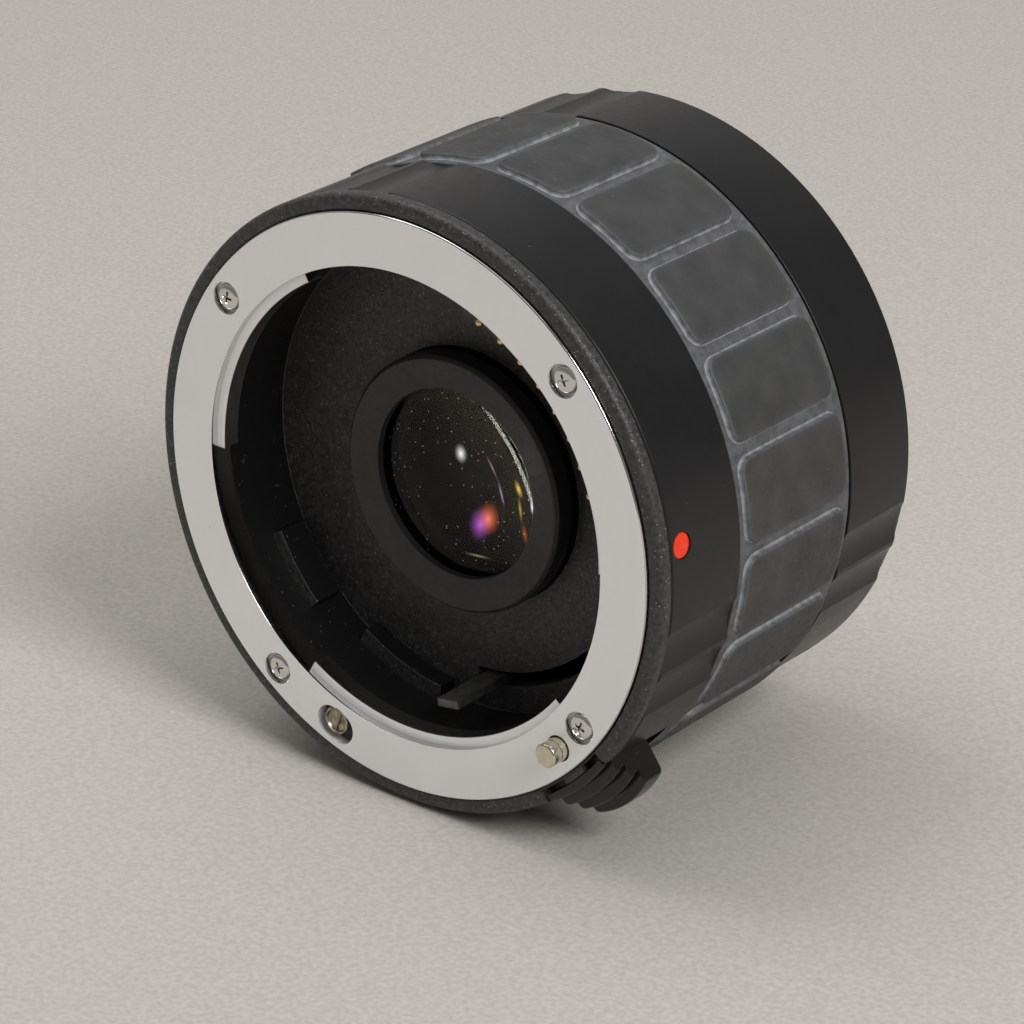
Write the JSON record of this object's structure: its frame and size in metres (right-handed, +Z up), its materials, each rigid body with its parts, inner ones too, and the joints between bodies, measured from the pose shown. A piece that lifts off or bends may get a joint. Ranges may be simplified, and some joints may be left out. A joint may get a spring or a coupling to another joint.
{
  "type": "camera teleconverter",
  "caption": "Camera teleconverter: a short black barrel with a bayonet at each end, a glass group inside, and a sprung lens lock, focus coupler, aperture drive and contacts.",
  "frame": {"origin": "centre of the lens throat, on the lens mount face", "axes": "+Y along the optical axis towards the camera, +Z up with the barrel lying on its grip, +X to the right seen from the lens side"},
  "size_m": [0.065, 0.0493, 0.065],
  "materials": {
    "mount_chrome": "satin chrome on brass, turned",
    "screw_steel": "polished steel",
    "spring_steel": "bright spring wire and strip",
    "moulded_black": "black moulding with a fine sparkling grain",
    "anodised_black": "satin black anodised",
    "grip_rubber": "dark grey rubber with dusty channels",
    "index_red": "gloss red enamel",
    "cell_black": "matt black anodised",
    "lens_glass": "coated optical glass",
    "contact_gold": "gold plated",
    "flex_amber": "amber polyimide film",
    "board_green": "green solder mask",
    "chip_black": "black epoxy",
    "baffle_black": "flat black paint",
    "lever_black": "semi-gloss black moulding",
    "pin_nickel": "nickel plated, turned",
    "coupler_metal": "nickel plated brass",
    "drive_metal": "bare aluminium",
    "aperture_metal": "blackened steel"
  },
  "bodies": {
    "barrel": {"lens_mount_ring": "mount_chrome", "lens_mount_screws": "screw_steel", "bayonet_springs": "spring_steel", "front_housing": "moulded_black", "front_shell": "anodised_black", "shell_screws": "screw_steel", "grip_ring": "grip_rubber", "rear_ring": "anodised_black", "front_index_dot": "index_red", "rear_index_dot": "index_red", "lens_barrel": "cell_black", "barrel_screws": "screw_steel", "front_retaining_ring": "cell_black", "rear_retaining_ring": "cell_black", "element_1": "lens_glass", "element_2": "lens_glass", "element_3": "lens_glass", "element_4": "lens_glass", "element_5": "lens_glass", "element_6": "lens_glass", "element_7": "lens_glass", "spacer_1": "cell_black", "spacer_2": "cell_black", "spacer_3": "cell_black", "front_contact_block": "moulded_black", "front_flex_cable": "flex_amber", "circuit_board": "board_green", "processor_chip": "chip_black", "board_screws": "screw_steel", "rear_flex_cable": "flex_amber", "rear_contact_block": "moulded_black", "rear_contact_pads": "contact_gold", "rear_housing": "moulded_black", "rear_mount_ring": "mount_chrome", "rear_mount_screws": "screw_steel", "rear_baffle": "baffle_black", "release_spring": "spring_steel", "aperture_clip": "spring_steel", "aperture_spring": "spring_steel"},
    "release": {"release_lever": "lever_black", "lock_pin": "pin_nickel"},
    "coupler": {"coupler_shaft": "coupler_metal", "coupler_spring": "spring_steel"},
    "coupler_head": {"coupler_tip": "coupler_metal"},
    "aperture_drive": {"aperture_ring": "drive_metal", "front_aperture_lever": "aperture_metal", "rear_aperture_lever": "aperture_metal"},
    "contact_1": {"contact_pin_1": "contact_gold"},
    "contact_2": {"contact_pin_2": "contact_gold"},
    "contact_3": {"contact_pin_3": "contact_gold"},
    "contact_4": {"contact_pin_4": "contact_gold"},
    "contact_5": {"contact_pin_5": "contact_gold"},
    "contact_6": {"contact_pin_6": "contact_gold"},
    "contact_7": {"contact_pin_7": "contact_gold"},
    "contact_8": {"contact_pin_8": "contact_gold"}
  },
  "joints": [
    {"name": "release_slide", "type": "slide", "parent": "barrel", "child": "release", "axis": [0, 1, 0], "range_m": [0, 0.0025], "stiffness_N_per_m": 400, "springref_m": -0.002, "deforming": ["release_spring"]},
    {"name": "coupler_turn", "type": "hinge", "parent": "barrel", "child": "coupler", "pos_m": [-0.00883, 0.02, -0.02594], "axis": [0, 1, 0], "continuous": true},
    {"name": "tip_slide", "type": "slide", "parent": "coupler", "child": "coupler_head", "axis": [0, 1, 0], "range_m": [0, 0.0018], "stiffness_N_per_m": 250, "springref_m": -0.002, "deforming": ["coupler_spring"]},
    {"name": "aperture_turn", "type": "hinge", "parent": "barrel", "child": "aperture_drive", "pos_m": [0, 0.0167, 0], "axis": [0, -1, 0], "range_deg": [0, 30], "stiffness_Nm_per_rad": 0.01, "springref_deg": -20.05, "deforming": ["aperture_spring"]},
    {"name": "contact_1_slide", "type": "slide", "parent": "barrel", "child": "contact_1", "axis": [0, 1, 0], "range_m": [0, 0.0009], "stiffness_N_per_m": 150, "springref_m": -0.001},
    {"name": "contact_2_slide", "type": "slide", "parent": "barrel", "child": "contact_2", "axis": [0, 1, 0], "range_m": [0, 0.0009], "stiffness_N_per_m": 150, "springref_m": -0.001},
    {"name": "contact_3_slide", "type": "slide", "parent": "barrel", "child": "contact_3", "axis": [0, 1, 0], "range_m": [0, 0.0009], "stiffness_N_per_m": 150, "springref_m": -0.001},
    {"name": "contact_4_slide", "type": "slide", "parent": "barrel", "child": "contact_4", "axis": [0, 1, 0], "range_m": [0, 0.0009], "stiffness_N_per_m": 150, "springref_m": -0.001},
    {"name": "contact_5_slide", "type": "slide", "parent": "barrel", "child": "contact_5", "axis": [0, 1, 0], "range_m": [0, 0.0009], "stiffness_N_per_m": 150, "springref_m": -0.001},
    {"name": "contact_6_slide", "type": "slide", "parent": "barrel", "child": "contact_6", "axis": [0, 1, 0], "range_m": [0, 0.0009], "stiffness_N_per_m": 150, "springref_m": -0.001},
    {"name": "contact_7_slide", "type": "slide", "parent": "barrel", "child": "contact_7", "axis": [0, 1, 0], "range_m": [0, 0.0009], "stiffness_N_per_m": 150, "springref_m": -0.001},
    {"name": "contact_8_slide", "type": "slide", "parent": "barrel", "child": "contact_8", "axis": [0, 1, 0], "range_m": [0, 0.0009], "stiffness_N_per_m": 150, "springref_m": -0.001}
  ]
}
